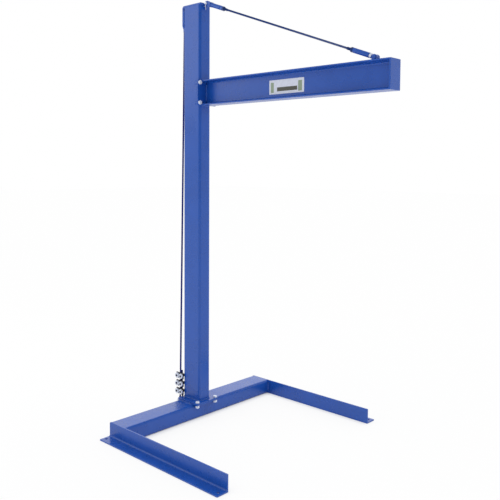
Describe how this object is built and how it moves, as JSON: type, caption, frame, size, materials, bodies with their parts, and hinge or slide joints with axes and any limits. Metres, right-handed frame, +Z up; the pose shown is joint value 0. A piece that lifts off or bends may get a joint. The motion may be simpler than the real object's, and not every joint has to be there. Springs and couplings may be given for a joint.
{
  "type": "cantilever jib crane",
  "caption": "Floor-standing cantilever jib crane: U-shaped base, tube column, bolted I-beam boom with a screw tie above and a wire rope stay behind.",
  "frame": {"origin": "on the floor under the centre of the column", "axes": "+X along the boom towards its tip, +Y to the right as seen from the tip, +Z up"},
  "size_m": [1.2989, 1.143, 2.1697],
  "materials": {
    "blue_paint": "glossy dark royal blue paint over steel",
    "dipped_paint": "the same blue run thinly over dark drawn bar",
    "zinc": "bright zinc-plated steel",
    "black_iron": "dark forged iron",
    "rope": "dark oiled steel strands",
    "label": "plain pale enamelled sheet without lettering"
  },
  "bodies": {
    "frame": {"anchor_nuts": "zinc", "anchor_studs": "zinc", "anchor_washers": "zinc", "base_bolts": "zinc", "base_nuts": "zinc", "base_washers": "zinc", "boom_beam": "blue_paint", "boom_bolts": "zinc", "boom_end_plate": "blue_paint", "boom_lug": "blue_paint", "boom_nuts": "blue_paint", "boom_seat_plate": "blue_paint", "boom_tip_plate": "blue_paint", "boom_washers": "blue_paint", "clip_nuts": "zinc", "clip_saddles": "black_iron", "clip_u_bolts": "black_iron", "column": "blue_paint", "column_base_plate": "blue_paint", "cross_tube": "blue_paint", "cross_tube_plate": "blue_paint", "label_plate": "label", "left_leg": "blue_paint", "lower_cotter": "zinc", "lower_eye": "blue_paint", "lower_jam_nut": "dipped_paint", "lower_lock_nut": "zinc", "lower_pin": "blue_paint", "right_leg": "blue_paint", "rope_spool": "zinc", "spool_nut": "zinc", "spool_stud": "zinc", "spool_washer": "zinc", "stay_rope": "rope", "strap_lug": "blue_paint", "thimbles": "zinc", "tie_rod": "dipped_paint", "top_strap": "blue_paint", "upper_cotter": "zinc", "upper_fork": "blue_paint", "upper_jam_nut": "dipped_paint", "upper_pin": "zinc"},
    "upper_sleeve": {"upper_sleeve": "blue_paint"},
    "lower_sleeve": {"lower_sleeve": "blue_paint"}
  },
  "joints": [
    {"name": "upper_sleeve_turn", "type": "hinge", "parent": "frame", "child": "upper_sleeve", "pos_m": [0.15083, 0, 2.12983], "axis": [0.9369, 0, -0.3496], "continuous": true},
    {"name": "lower_sleeve_turn", "type": "hinge", "parent": "frame", "child": "lower_sleeve", "pos_m": [1.02117, 0, 1.80512], "axis": [0.9369, 0, -0.3496], "continuous": true}
  ]
}
